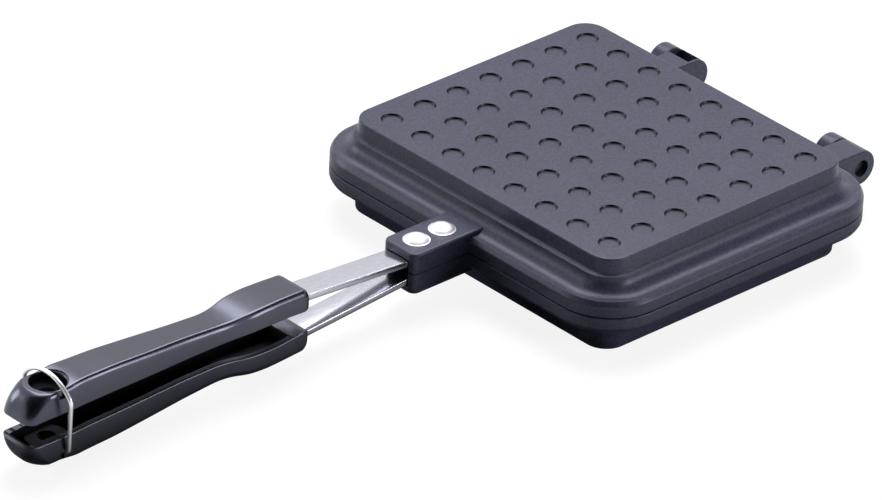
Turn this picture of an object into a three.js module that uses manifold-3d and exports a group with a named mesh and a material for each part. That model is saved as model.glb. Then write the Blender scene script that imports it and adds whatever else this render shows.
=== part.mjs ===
// Stovetop sandwich maker: two hinged cast pan halves on riveted steel straps with black moulded grips,
// held shut by a wire latch at the tail.
// Millimetres. +Z up, +X from the grips towards the hinges, +Y across.
// The origin is the centre of the flat base that stands on the hob.

import * as THREE from 'three';
import { mergeGeometries, mergeVertices } from 'three/addons/utils/BufferGeometryUtils.js';
import Module from 'manifold-3d';

const wasm = await Module();
wasm.setup();

// Driving dimensions: pan halves
const flat_length = 112.8;
const flat_width = 129;
const flat_corner = 8.3;
const half_height = 17.5;
const flat_edge_round = 0.7;
const rim_reach = 10.5;
const rim_corner = 21;
const rim_height = 6.1;
const rim_face_height = 4.3;
const lip_width = 1.2;
const lip_rise = 0.2;
const rim_edge_round = 0.5;
const parting_gap = 0.3;
const wall_drop = 5.5;
const wall_draft = 0.5;
const ledge_width = 1.6;
const ledge_drop = 0.6;
const floor_thickness = 3.4;
const wall_thickness = 3;
const land_width = 4.6;
const cavity_round = 1.6;

// Driving dimensions: dimples in the outer faces
const dimple_pitch = 15.4;
const dimple_columns = 7;
const dimple_rows = 8;
const dimple_radius = 3.9;
const dimple_taper = 0.6;
const dimple_depth = 0.8;

// Driving dimensions: handle bosses on the rim
const boss_reach = 25.2;
const boss_width = 16.3;
const boss_height = 7.7;
const boss_corner = 2.8;
const boss_edge_bevel = 0.8;
const boss_root = 9;

// Driving dimensions: straps and rivets
const strap_width = 10.3;
const strap_thickness = 2.4;
const strap_angle = THREE.MathUtils.degToRad(4.37);
const strap_start_height = 2.9;
const strap_start_reach = 2.2;
const strap_tail_depth = 6.3;
const strap_slot_gap = 0.3;
const anchor_hole_radius = 1.3;
const anchor_end_distance = 3;
const rivet_pitch = 11.6;
const rivet_head_radius = 4.75;
const rivet_head_height = 2.1;
const rivet_shank_radius = 2.3;
const rivet_end_reach = 8.3;
const fit_gap = 0.15;

// Driving dimensions: hinges
const hinge_reach = 11.9;
const hinge_spacing = 82.4;
const barrel_radius = 6.5;
const long_knuckle = 11.2;
const short_knuckle = 6;
const knuckle_gap = 0.4;
const pin_radius = 2.9;
const bore_radius = 3.15;
const pin_recess = 1.7;
const web_root = 8;
const web_root_height = 7.3;
const hook_wall = 1.2;
const hook_slot_width = 6.4;
const hook_slot_angle = THREE.MathUtils.degToRad(85);

// Driving dimensions: grips
const grip_gap_to_boss = 46.2;
const grip_length = 123;
const nose_half_width = 7.6;
const guard_half_width = 8.2;
const neck_half_width = 6.2;
const tail_half_width = 7.85;
const nose_top = 11.7;
const guard_top = 12.3;
const neck_top = 10.7;
const tail_top = 14.4;
const nose_inner = 3.6;
const guard_inner = 4.7;
const neck_inner = 3.7;
const tail_inner = 4.4;
const grip_edge_drop = 1.5;
const grip_edge_width = 1.1;
const tail_edge_share = 0.8;
const grip_wall = 2.3;
const grip_roof = 2.4;
const grip_front_round = 3;
const grip_front_side_round = 1.4;
const grip_end_drop = 1;
const block_depth = 7.8;
const tail_step_distance = 22;
const tail_end_round = 4.6;
const tail_end_slope = 7.3;
const tail_end_turn = THREE.MathUtils.degToRad(70);
const envelope_clearance = 0.8;

// Driving dimensions: hanging hole and latch
const hang_mouth_radius = 6.3;
const hang_neck_radius = 3.2;
const hang_neck_height = 7.2;
const hang_neck_thickness = 1.6;
const hang_wall = 1.5;
const hang_end_distance = 14.2;
const hang_floor_cone = 1.2;
const latch_wire_radius = 0.8;
const latch_end_distance = 16.2;
const latch_side_gap = 0.3;
const latch_spread = 2.8;
const latch_pivot_height = 10.3;
const latch_bend_height = 10.6;
const latch_apex_height = 17.5;
const latch_corner = 1.5;
const latch_lean = THREE.MathUtils.degToRad(5.5);
const latch_notch_depth = 1;
const latch_notch_width = 2.8;
const latch_notch_drop = 3;
const latch_pin_bite = 1.9;
const latch_hole_depth = 2.1;

// Facets of round work
const corner_steps = 6;
const cove_steps = 5;
const round_steps = 24;
const dimple_steps = 12;
const wire_sides = 10;
const wire_steps = 64;
const cut_overrun = 3;

// Places that follow from the sizes
const half_flat_length = flat_length / 2;
const half_flat_width = flat_width / 2;
const rim_edge = half_flat_length + rim_reach;
const half_parting_gap = parting_gap / 2;
const boss_end = -(rim_edge + boss_reach);
const hinge_axis_x = rim_edge + hinge_reach;
const grip_front = boss_end - grip_gap_to_boss;
const grip_end = grip_front - grip_length;
const hang_x = grip_end + hang_end_distance;
const latch_x = grip_end + latch_end_distance;

// Booleans on closed meshes

function toSolid(geometry) {
  const bare = geometry.clone();
  bare.deleteAttribute('normal');
  bare.deleteAttribute('uv');
  const merged = mergeVertices(bare);
  const positions = new Float32Array(merged.attributes.position.array);
  const triangles = new Uint32Array(merged.index.array);
  return new wasm.Manifold(new wasm.Mesh({ numProp: 3, vertProperties: positions, triVerts: triangles }));
}

function toGeometry(solid) {
  const mesh = solid.getMesh();
  const geometry = new THREE.BufferGeometry();
  geometry.setAttribute('position', new THREE.BufferAttribute(new Float32Array(mesh.vertProperties), 3));
  geometry.setIndex(new THREE.BufferAttribute(new Uint32Array(mesh.triVerts), 1));
  return geometry;
}

function cutAll(body, cutters) {
  let solid = toSolid(body);
  for (const cutter of cutters) solid = solid.subtract(toSolid(cutter));
  return toGeometry(solid);
}

function joinAll(bodies) {
  let solid = toSolid(bodies[0]);
  for (const body of bodies.slice(1)) solid = solid.add(toSolid(body));
  return toGeometry(solid);
}

// The same shape below the parting plane, with its faces turned to point out again
function mirrored(geometry) {
  const copy = mergeVertices(geometry.clone());
  copy.scale(1, 1, -1);
  const triangles = copy.index.array;
  for (let i = 0; i < triangles.length; i += 3) {
    const second = triangles[i + 1];
    triangles[i + 1] = triangles[i + 2];
    triangles[i + 2] = second;
  }
  return copy;
}

// A closed body through rings of points that all have the same count and turn the same way
function loft(rings) {
  const count = rings[0].length;
  const positions = rings.flat().flatMap((point) => point.toArray());
  const triangles = [];
  for (let ring = 0; ring + 1 < rings.length; ring += 1) {
    for (let i = 0; i < count; i += 1) {
      const next = (i + 1) % count;
      const a = ring * count + i;
      const b = ring * count + next;
      triangles.push(a, b, b + count, a, b + count, a + count);
    }
  }
  const caps = [rings[0], rings[rings.length - 1]];
  caps.forEach((cap, end) => {
    const centre = cap.reduce((sum, point) => sum.add(point), new THREE.Vector3()).divideScalar(count);
    const middle = positions.length / 3;
    const first = end * (rings.length - 1) * count;
    positions.push(...centre.toArray());
    for (let i = 0; i < count; i += 1) {
      const next = (i + 1) % count;
      if (end === 0) triangles.push(middle, first + next, first + i);
      else triangles.push(middle, first + i, first + next);
    }
  });
  const geometry = new THREE.BufferGeometry();
  geometry.setAttribute('position', new THREE.Float32BufferAttribute(positions, 3));
  geometry.setIndex(triangles);
  return geometry;
}

// A rounded rectangle at one height, as a ring of points, counter-clockwise seen from above
function roundedRing(half_x, half_y, corner, height, centre_x = 0) {
  const points = [];
  const corners = [[1, 1], [-1, 1], [-1, -1], [1, -1]];
  corners.forEach(([side_x, side_y], quarter) => {
    for (let i = 0; i <= corner_steps; i += 1) {
      const angle = (quarter + i / corner_steps) * Math.PI / 2;
      const x = side_x * (half_x - corner) + corner * Math.cos(angle);
      const y = side_y * (half_y - corner) + corner * Math.sin(angle);
      points.push(new THREE.Vector3(centre_x + x, y, height));
    }
  });
  return points;
}

function cylinderAlongY(radius, length, x, y, z) {
  const geometry = new THREE.CylinderGeometry(radius, radius, length, round_steps);
  geometry.translate(x, y, z);
  return geometry;
}

function cylinderAlongZ(bottom_radius, top_radius, bottom, top, x) {
  const geometry = new THREE.CylinderGeometry(top_radius, bottom_radius, top - bottom, round_steps);
  geometry.rotateX(Math.PI / 2);
  geometry.translate(x, 0, (top + bottom) / 2);
  return geometry;
}

// A flat outline in X and Z, as thick as its width across Y, centred at y
function plateAcrossY(outline, width, y = 0) {
  const settings = { depth: width, bevelEnabled: false, curveSegments: round_steps / 2 };
  const geometry = new THREE.ExtrudeGeometry(outline, settings);
  geometry.rotateX(Math.PI / 2);
  geometry.translate(0, y + width / 2, 0);
  return geometry;
}

function outlineOf(points) {
  return new THREE.Shape(points.map(([x, z]) => new THREE.Vector2(x, z)));
}

// Pan halves: each is described above the parting plane, which is at height 0 here

// The outline of the pan, offset outwards from the flat by reach; corners open up towards the rim
function panRing(reach, height) {
  const corner = flat_corner + (rim_corner - flat_corner) * reach / rim_reach;
  return roundedRing(half_flat_length + reach, half_flat_width + reach, corner, height);
}

function panOuter() {
  const wall_foot = half_height - wall_drop;
  const cove_top = wall_foot - ledge_drop;
  const cove_inner = wall_draft + ledge_width;
  const cove_outer = rim_reach - 2 * lip_width;
  const cove_floor = rim_height - lip_rise;
  const rings = [
    panRing(rim_reach - rim_edge_round, half_parting_gap),
    panRing(rim_reach, half_parting_gap + rim_edge_round),
    panRing(rim_reach, rim_face_height),
    panRing(rim_reach - lip_width / 3, (rim_face_height + rim_height) / 2),
    panRing(rim_reach - lip_width, rim_height),
  ];
  for (let i = 0; i <= cove_steps; i += 1) {
    const angle = (i / cove_steps) * Math.PI / 2;
    const reach = cove_outer - (cove_outer - cove_inner) * Math.sin(angle);
    rings.push(panRing(reach, cove_top - (cove_top - cove_floor) * Math.cos(angle)));
  }
  rings.push(panRing(wall_draft, wall_foot));
  rings.push(panRing(0, half_height - flat_edge_round));
  rings.push(panRing(-flat_edge_round, half_height));
  return loft(rings);
}

// The bread space, cut from below, with a sloping flank that crimps the slices' edges
function panCavity() {
  const floor = half_height - floor_thickness;
  const mouth_reach = rim_reach - rim_edge_round - land_width;
  const foot_reach = -wall_thickness;
  const flank_height = rim_face_height;
  return loft([
    panRing(mouth_reach, half_parting_gap - cut_overrun),
    panRing(mouth_reach, half_parting_gap + rim_edge_round),
    panRing((mouth_reach + foot_reach) / 2, flank_height),
    panRing(foot_reach, flank_height + wall_thickness),
    panRing(foot_reach - wall_draft, floor - cavity_round),
    panRing(foot_reach - wall_draft - cavity_round, floor),
  ]);
}

function dimpleCutters() {
  const profile = [
    new THREE.Vector2(0, -dimple_depth),
    new THREE.Vector2(dimple_radius - dimple_taper, -dimple_depth),
    new THREE.Vector2(dimple_radius, 0),
    new THREE.Vector2(dimple_radius, cut_overrun),
    new THREE.Vector2(0, cut_overrun),
  ];
  const cutter = new THREE.LatheGeometry(profile, dimple_steps);
  cutter.rotateX(Math.PI / 2);
  const cutters = [];
  for (let column = 0; column < dimple_columns; column += 1) {
    for (let row = 0; row < dimple_rows; row += 1) {
      const x = (column - (dimple_columns - 1) / 2) * dimple_pitch;
      const y = (row - (dimple_rows - 1) / 2) * dimple_pitch;
      cutters.push(cutter.clone().translate(x, y, half_height));
    }
  }
  return mergeGeometries(cutters);
}

// The handle boss: a block on the rim with rounded free corners and a bevelled top edge
function bossBlock() {
  const root = -(rim_edge - boss_root);
  const half_length = (root - boss_end) / 2 + boss_corner / 2;
  const centre = boss_end + half_length;
  const half_width = boss_width / 2;
  const ring = (inset, height) => {
    return roundedRing(half_length - inset, half_width - inset, boss_corner - inset, height, centre);
  };
  return loft([
    ring(0, half_parting_gap),
    ring(0, boss_height - boss_edge_bevel),
    ring(boss_edge_bevel / 3, boss_height - boss_edge_bevel / 3),
    ring(boss_edge_bevel, boss_height),
  ]);
}

// Height of the strap's outer face above the parting plane, at a place along X
const strap_start_x = -(rim_edge + strap_start_reach);
const strap_tail_x = grip_front - strap_tail_depth;
const anchor_x = strap_tail_x + anchor_end_distance;

function strapOuterHeight(x) {
  return strap_start_height + (strap_start_x - x) * Math.tan(strap_angle);
}

function rivetPlaces() {
  const outer = boss_end + rivet_end_reach;
  return [outer, outer + rivet_pitch];
}

// The slot in the boss that the strap lies in, open towards the parting plane
function bossSlot() {
  const inner_end = strap_start_x + strap_slot_gap;
  const outer_end = boss_end - cut_overrun;
  const slot = outlineOf([
    [inner_end, strapOuterHeight(inner_end) + strap_slot_gap],
    [outer_end, strapOuterHeight(outer_end) + strap_slot_gap],
    [outer_end, -cut_overrun],
    [inner_end, -cut_overrun],
  ]);
  return plateAcrossY(slot, strap_width + 2 * strap_slot_gap);
}

function rivetHoles() {
  return rivetPlaces().map((x) => {
    const hole_radius = rivet_shank_radius + fit_gap;
    return cylinderAlongZ(hole_radius, hole_radius, -cut_overrun, boss_height + cut_overrun, x);
  });
}

// Hinge knuckles: the upper half carries the long ones and the lower half the short ones, so that
// the upper half slides off sideways when it is taken apart

const hinge_length = long_knuckle + knuckle_gap + short_knuckle;
const hinge_centres = { left: hinge_spacing / 2, right: -hinge_spacing / 2 };

function hingePlaces(centre) {
  const near = centre - hinge_length / 2;
  const split = near + long_knuckle;
  const far = centre + hinge_length / 2;
  return { near, split, far, long_centre: (near + split) / 2, short_centre: far - short_knuckle / 2 };
}

// One knuckle with the web that ties it to the rim
function knuckle(length, y) {
  const root_x = rim_edge - web_root;
  const start = Math.PI - Math.asin(half_parting_gap / barrel_radius);
  const end = 2 * Math.PI + Math.PI / 2;
  const outline = new THREE.Shape();
  outline.moveTo(root_x, half_parting_gap);
  outline.absarc(hinge_axis_x, 0, barrel_radius, start, end, false);
  outline.lineTo(root_x, web_root_height);
  return plateAcrossY(outline, length, y);
}

function upperBores() {
  const left = hingePlaces(hinge_centres.left);
  const right = hingePlaces(hinge_centres.right);
  const blind_length = long_knuckle - hook_wall + cut_overrun;
  const blind_centre = left.near + hook_wall + blind_length / 2;
  const through_length = long_knuckle + 2 * cut_overrun;
  return [
    cylinderAlongY(bore_radius, blind_length, hinge_axis_x, blind_centre, 0),
    cylinderAlongY(bore_radius, through_length, hinge_axis_x, right.long_centre, 0),
    hookSlot(left),
  ];
}

// The left knuckle is a hook: a slot in its barrel lets its pin out when the lid is fully open
function hookSlot(place) {
  const reach = barrel_radius + cut_overrun;
  const length = long_knuckle - hook_wall + knuckle_gap / 2;
  const slot = new THREE.BoxGeometry(reach, length, hook_slot_width);
  slot.translate(reach / 2, 0, 0);
  slot.rotateY(-hook_slot_angle);
  slot.translate(hinge_axis_x, place.near + hook_wall + length / 2, 0);
  return slot;
}

function upperPan() {
  const left = hingePlaces(hinge_centres.left);
  const right = hingePlaces(hinge_centres.right);
  const knuckles = [knuckle(long_knuckle, left.long_centre), knuckle(long_knuckle, right.long_centre)];
  const body = joinAll([panOuter(), bossBlock(), ...knuckles]);
  return cutAll(body, [panCavity(), bossSlot(), ...rivetHoles(), ...upperBores(), dimpleCutters()]);
}

function lowerPan() {
  const knuckles = Object.values(hinge_centres).map((centre) => {
    return knuckle(short_knuckle, hingePlaces(centre).short_centre);
  });
  const bore_length = short_knuckle + 2 * cut_overrun;
  const bores = Object.values(hinge_centres).map((centre) => {
    const y = hingePlaces(centre).short_centre;
    return cylinderAlongY(pin_radius + fit_gap, bore_length, hinge_axis_x, y, 0);
  });
  const body = joinAll([panOuter(), bossBlock(), ...knuckles]);
  return mirrored(cutAll(body, [panCavity(), bossSlot(), ...rivetHoles(), ...bores, dimpleCutters()]));
}

// A hinge pin, pressed into the short knuckle and free in the long one
function hingePin(centre, near_wall) {
  const place = hingePlaces(centre);
  const near_end = place.near + near_wall;
  const length = place.far - fit_gap - near_end;
  return cylinderAlongY(pin_radius, length, hinge_axis_x, near_end + length / 2, 0);
}

// Straps and rivets

// A straight bar with holes for its rivets and, at its tail, for the grip's moulded plug
function strap() {
  const ends = [strap_start_x, strap_tail_x];
  const outer = ends.map((x) => [x, strapOuterHeight(x)]);
  const inner = ends.map((x) => [x, strapOuterHeight(x) - strap_thickness]).reverse();
  const bar = plateAcrossY(outlineOf([...outer, ...inner]), strap_width);
  const hole = (radius, x) => cylinderAlongZ(radius, radius, -cut_overrun, tail_top, x);
  const rivet_holes = rivetPlaces().map((x) => hole(rivet_shank_radius + fit_gap, x));
  return cutAll(bar, [...rivet_holes, hole(anchor_hole_radius, anchor_x)]);
}

// A rivet: a domed head on the boss and a shank that ends in the strap's hole
function rivet(x) {
  const dome = [];
  const sphere_radius = (rivet_head_radius ** 2 + rivet_head_height ** 2) / (2 * rivet_head_height);
  const sphere_centre = boss_height + rivet_head_height - sphere_radius;
  const edge_angle = Math.asin(rivet_head_radius / sphere_radius);
  for (let i = 0; i <= cove_steps; i += 1) {
    const angle = edge_angle * (1 - i / cove_steps);
    const height = sphere_centre + sphere_radius * Math.cos(angle);
    dome.push(new THREE.Vector2(sphere_radius * Math.sin(angle), height));
  }
  const inner_end = strapOuterHeight(x + rivet_shank_radius) - strap_thickness + fit_gap;
  const profile = [
    new THREE.Vector2(0, inner_end),
    new THREE.Vector2(rivet_shank_radius, inner_end),
    new THREE.Vector2(rivet_shank_radius, boss_height),
    ...dome,
  ];
  const geometry = new THREE.LatheGeometry(profile, round_steps);
  geometry.rotateX(Math.PI / 2);
  geometry.translate(x, 0, 0);
  return geometry;
}

// Grips

// The grip's main sections
const grip_forms = {
  nose: { half_width: nose_half_width, top: nose_top, inner: nose_inner, edge_share: 1 },
  guard: { half_width: guard_half_width, top: guard_top, inner: guard_inner, edge_share: 1 },
  neck: { half_width: neck_half_width, top: neck_top, inner: neck_inner, edge_share: 1 },
  tail: { half_width: tail_half_width, top: tail_top, inner: tail_inner, edge_share: tail_edge_share },
};

// Stations between them: share of the grip's length from its front, the two forms that it lies
// between, and how far its width, its top and its inner edge have gone from the one to the other
const grip_shares = [
  { share: 0.035, forms: ['nose', 'guard'], width_share: 0, top_share: 0, inner_share: 0 },
  { share: 0.092, forms: ['nose', 'guard'], width_share: 0.5, top_share: 0.85, inner_share: 0.85 },
  { share: 0.155, forms: ['nose', 'guard'], width_share: 1, top_share: 1, inner_share: 1 },
  { share: 0.217, forms: ['guard', 'neck'], width_share: 0.1, top_share: 0.25, inner_share: 0.2 },
  { share: 0.262, forms: ['guard', 'neck'], width_share: 0.65, top_share: 0.87, inner_share: 0.6 },
  { share: 0.312, forms: ['guard', 'neck'], width_share: 1, top_share: 1, inner_share: 1 },
  { share: 0.437, forms: ['neck', 'tail'], width_share: 0, top_share: 0.3, inner_share: 0 },
  { share: 0.563, forms: ['neck', 'tail'], width_share: 0.36, top_share: 0.57, inner_share: 0.29 },
  { share: 0.69, forms: ['neck', 'tail'], width_share: 0.61, top_share: 0.86, inner_share: 0.71 },
  { share: 0.812, forms: ['neck', 'tail'], width_share: 0.79, top_share: 0.95, inner_share: 0.86 },
];

function gripSections() {
  const lerp = THREE.MathUtils.lerp;
  const sections = grip_shares.map((entry) => {
    const [from, to] = entry.forms.map((name) => grip_forms[name]);
    return {
      x: grip_front - entry.share * grip_length,
      half_width: lerp(from.half_width, to.half_width, entry.width_share),
      top: lerp(from.top, to.top, entry.top_share),
      inner: lerp(from.inner, to.inner, entry.inner_share),
      edge_share: lerp(from.edge_share, to.edge_share, entry.width_share),
    };
  });
  const first = sections[0];
  first.x = grip_front - grip_front_round;
  const nose = [0, 1 / 3, 2 / 3].map((turn) => {
    const angle = turn * Math.PI / 2;
    const inset_share = 1 - Math.sin(angle);
    return {
      x: grip_front - grip_front_round * (1 - Math.cos(angle)),
      half_width: first.half_width - grip_front_side_round * inset_share,
      top: first.top - grip_front_round * inset_share,
      inner: first.inner + grip_front_side_round * inset_share,
      edge_share: first.edge_share,
    };
  });
  const tail_front = { ...grip_forms.tail, x: grip_end + tail_step_distance };
  const tail_end = { ...grip_forms.tail, x: grip_end - cut_overrun };
  tail_end.top = tail_top - grip_end_drop;
  const tail_middle = { ...tail_end, x: latch_x };
  return [...nose, ...sections, tail_front, tail_middle, tail_end];
}

// A section of the grip with sloped shoulders, counter-clockwise seen from the front
function gripRing(section) {
  const side = section.half_width;
  const top = section.top;
  const drop = grip_edge_drop * section.edge_share;
  const width = grip_edge_width * section.edge_share;
  const outline = [
    [-side, section.inner],
    [-side, top - drop],
    [-side + width, top],
    [side - width, top],
    [side, top - drop],
    [side, section.inner],
  ];
  return outline.map(([y, z]) => new THREE.Vector3(section.x, y, z));
}

// Where the tail's end stands at a height above the parting plane: upright at its inner edge, then
// an arc that draws in by the slope towards its top
function tailEndX(height) {
  const rise_share = Math.max(0, height - tail_inner) / (tail_top - tail_inner);
  const angle = Math.asin(Math.min(1, rise_share) * Math.sin(tail_end_turn));
  return grip_end + tail_end_slope * (1 - Math.cos(angle)) / (1 - Math.cos(tail_end_turn));
}

// The envelope that rounds the tail: a plan outline that draws in towards the top, with sides that
// stand clear of the wider guard
function tailEnvelope() {
  const front = grip_front + cut_overrun;
  const front_half_width = guard_half_width + envelope_clearance;
  const ring = (rise_share, height) => {
    const end = tailEndX(height);
    const corner = tail_end_round + (tail_half_width - tail_end_round) * rise_share;
    const centre = (front + end) / 2;
    const points = roundedRing((front - end) / 2, tail_half_width + fit_gap, corner, height, centre);
    points.filter((point) => point.x > centre).forEach((point) => {
      point.y = Math.sign(point.y) * front_half_width;
    });
    return points;
  };
  const rings = [ring(0, 0)];
  for (let i = 0; i <= cove_steps; i += 1) {
    const rise_share = Math.sin(tail_end_turn * i / cove_steps) / Math.sin(tail_end_turn);
    rings.push(ring(rise_share, tail_inner + (tail_top - tail_inner) * rise_share));
  }
  rings.push(ring(1, tail_top + cut_overrun));
  return loft(rings);
}

// The hollow behind the front block, open towards the parting plane, under walls of one thickness
function gripChannel() {
  const channel_front = grip_front - block_depth;
  const ring = (x, half_width, height) => [
    new THREE.Vector3(x, -half_width, -cut_overrun),
    new THREE.Vector3(x, -half_width, height),
    new THREE.Vector3(x, half_width, height),
    new THREE.Vector3(x, half_width, -cut_overrun),
  ];
  const front = { ...grip_forms.guard, x: channel_front };
  const behind = gripSections().filter((section) => section.x < channel_front && section.x >= latch_x);
  const rings = [front, ...behind].map((section) => {
    return ring(section.x, section.half_width - grip_wall, section.top - grip_roof);
  });
  const roof = tail_top - grip_end_drop - grip_roof;
  const end_x = tailEndX(roof) + grip_wall;
  const slope = (tailEndX(roof) - tailEndX(tail_inner)) / (roof - tail_inner);
  const end = ring(end_x, tail_half_width - grip_wall, roof);
  end.forEach((point) => {
    if (point.z > 0) point.y -= Math.sign(point.y) * grip_wall / 2;
    else point.x -= slope * (roof + cut_overrun);
  });
  return loft([...rings, end]);
}

// The slot in the front block that the strap's tail lies in, with a plug through the strap's hole
function gripStrapSlot() {
  const places = [grip_front + cut_overrun, strap_tail_x - strap_slot_gap];
  const outer = places.map((x) => [x, strapOuterHeight(x) + strap_slot_gap]);
  const inner = places.map((x) => [x, strapOuterHeight(x) - strap_thickness - strap_slot_gap]).reverse();
  const slot = plateAcrossY(outlineOf([...outer, ...inner]), strap_width + 2 * strap_slot_gap);
  const plug_radius = anchor_hole_radius - fit_gap;
  return cutAll(slot, [cylinderAlongZ(plug_radius, plug_radius, -cut_overrun, tail_top, anchor_x)]);
}

// Notches in the tail's top edges that the latch wire drops into
function latchNotches() {
  const height = 2 * latch_notch_drop;
  const top = tail_top - grip_end_drop;
  const x = latch_x - (top + latch_pivot_height) * Math.sin(latch_lean);
  return [-1, 1].map((side) => {
    const notch = new THREE.BoxGeometry(latch_notch_width, 2 * latch_notch_depth, height);
    notch.translate(x, side * tail_half_width, top);
    return notch;
  });
}

function grip() {
  const outer = toSolid(loft(gripSections().map(gripRing))).intersect(toSolid(tailEnvelope()));
  const shell = cutAll(toGeometry(outer), [gripChannel()]);
  const roof = tail_top - grip_end_drop - grip_roof;
  const cup_radius = hang_mouth_radius + hang_wall;
  const cup = cylinderAlongZ(cup_radius, cup_radius, hang_neck_height, roof + fit_gap, hang_x);
  const cup_floor = hang_neck_height + hang_neck_thickness;
  const bowl_foot = cup_floor + hang_floor_cone;
  const neck_radius = hang_neck_radius;
  const mouth_radius = hang_mouth_radius;
  const neck = cylinderAlongZ(neck_radius, neck_radius, -cut_overrun, cup_floor + fit_gap, hang_x);
  const bowl = cylinderAlongZ(neck_radius, mouth_radius, cup_floor, bowl_foot, hang_x);
  const mouth = cylinderAlongZ(mouth_radius, mouth_radius, bowl_foot, tail_top + cut_overrun, hang_x);
  const hanging_hole = [bowl, mouth, neck];
  return cutAll(joinAll([shell, cup]), [gripStrapSlot(), ...hanging_hole, ...latchNotches()]);
}

// The lower grip is the same moulding turned over, drilled for the latch's ends
function lowerGrip() {
  const radius = latch_wire_radius + fit_gap;
  const length = latch_hole_depth + cut_overrun;
  const holes = [-1, 1].map((side) => {
    const y = side * (tail_half_width - latch_hole_depth + length / 2);
    return cylinderAlongY(radius, length, latch_x, y, -latch_pivot_height);
  });
  return cutAll(mirrored(grip()), holes);
}

// The latch: one bent wire, drawn in its own plane from its pivot

// An arc in the Y and Z plane; its angle is counted from +Z towards +Y
class ArchCurve extends THREE.Curve {
  constructor(centre_height, radius, half_angle) {
    super();
    this.centre_height = centre_height;
    this.radius = radius;
    this.half_angle = half_angle;
  }

  getPoint(t, target = new THREE.Vector3()) {
    const angle = this.half_angle * (2 * t - 1);
    return target.set(0, this.radius * Math.sin(angle), this.centre_height + this.radius * Math.cos(angle));
  }
}

function latchPath() {
  const foot = tail_half_width + latch_side_gap + latch_wire_radius;
  const span = foot + latch_spread;
  const bend = latch_bend_height + latch_pivot_height;
  const apex = latch_apex_height + latch_pivot_height;
  const rise = apex - bend;
  const arch_radius = (span ** 2 + rise ** 2) / (2 * rise);
  const arch_angle = Math.asin(span / arch_radius) - latch_corner / arch_radius;
  const arch = new ArchCurve(apex - arch_radius, arch_radius, arch_angle);
  const point = (y, z) => new THREE.Vector3(0, y, z);
  const half = (side) => {
    const foot_corner = point(side * foot, 0);
    const bend_corner = point(side * span, bend);
    const leg = bend_corner.clone().sub(foot_corner).normalize().multiplyScalar(latch_corner);
    const pin_end = point(side * (tail_half_width - latch_pin_bite), 0);
    const pin_start = point(side * (foot - latch_corner), 0);
    const leg_start = foot_corner.clone().add(leg);
    const leg_end = bend_corner.clone().sub(leg);
    const arch_start = arch.getPoint(side < 0 ? 0 : 1);
    return { pin_end, pin_start, foot_corner, leg_start, leg_end, bend_corner, arch_start };
  };
  const near = half(-1);
  const far = half(1);
  const path = new THREE.CurvePath();
  path.add(new THREE.LineCurve3(near.pin_end, near.pin_start));
  path.add(new THREE.QuadraticBezierCurve3(near.pin_start, near.foot_corner, near.leg_start));
  path.add(new THREE.LineCurve3(near.leg_start, near.leg_end));
  path.add(new THREE.QuadraticBezierCurve3(near.leg_end, near.bend_corner, near.arch_start));
  path.add(arch);
  path.add(new THREE.QuadraticBezierCurve3(far.arch_start, far.bend_corner, far.leg_end));
  path.add(new THREE.LineCurve3(far.leg_end, far.leg_start));
  path.add(new THREE.QuadraticBezierCurve3(far.leg_start, far.foot_corner, far.pin_start));
  path.add(new THREE.LineCurve3(far.pin_start, far.pin_end));
  return path;
}

function latchWire() {
  const section = new THREE.Shape();
  section.absarc(0, 0, latch_wire_radius, 0, 2 * Math.PI, false);
  return new THREE.ExtrudeGeometry(section, {
    steps: wire_steps,
    curveSegments: wire_sides / 2,
    bevelEnabled: false,
    extrudePath: latchPath(),
  });
}

// Finishes

const coating = { color: '#4a4b52', roughness: 0.55, metalness: 0.2 };
const steel = { color: '#c9c9cf', roughness: 0.3, metalness: 1 };
const rivet_metal = { color: '#e6e6ea', roughness: 0.35, metalness: 1 };
const dark_steel = { color: '#55565c', roughness: 0.5, metalness: 0.8 };
const phenolic = { color: '#17171b', roughness: 0.25, metalness: 0 };
const wire_metal = { color: '#d8d8dc', roughness: 0.25, metalness: 1 };

const model = new THREE.Group();
const at_parting = new THREE.Group();
at_parting.position.z = half_height;
model.add(at_parting);

function place(name, geometry, finish) {
  const mesh = new THREE.Mesh(geometry, new THREE.MeshStandardMaterial(finish));
  mesh.name = name;
  at_parting.add(mesh);
  return mesh;
}

place('upper_pan', upperPan(), coating);
place('lower_pan', lowerPan(), coating);
place('hinge_pin_left', hingePin(hinge_centres.left, hook_wall + fit_gap), dark_steel);
place('hinge_pin_right', hingePin(hinge_centres.right, pin_recess), dark_steel);
place('upper_strap', strap(), steel);
place('lower_strap', mirrored(strap()), steel);
place('upper_grip', grip(), phenolic);
place('lower_grip', lowerGrip(), phenolic);

const rivet_names = ['outer', 'inner'];
rivetPlaces().forEach((x, i) => {
  place(`upper_rivet_${rivet_names[i]}`, rivet(x), rivet_metal);
  place(`lower_rivet_${rivet_names[i]}`, mirrored(rivet(x)), rivet_metal);
});

const latch = place('latch_wire', latchWire(), wire_metal);
latch.position.set(latch_x, 0, -latch_pivot_height);
latch.rotation.y = -latch_lean;

export default model;
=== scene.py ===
# Stovetop sandwich maker: the looks of the two cast pan halves, their straps and grips, and the wire
# latch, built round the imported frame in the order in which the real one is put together.

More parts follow.
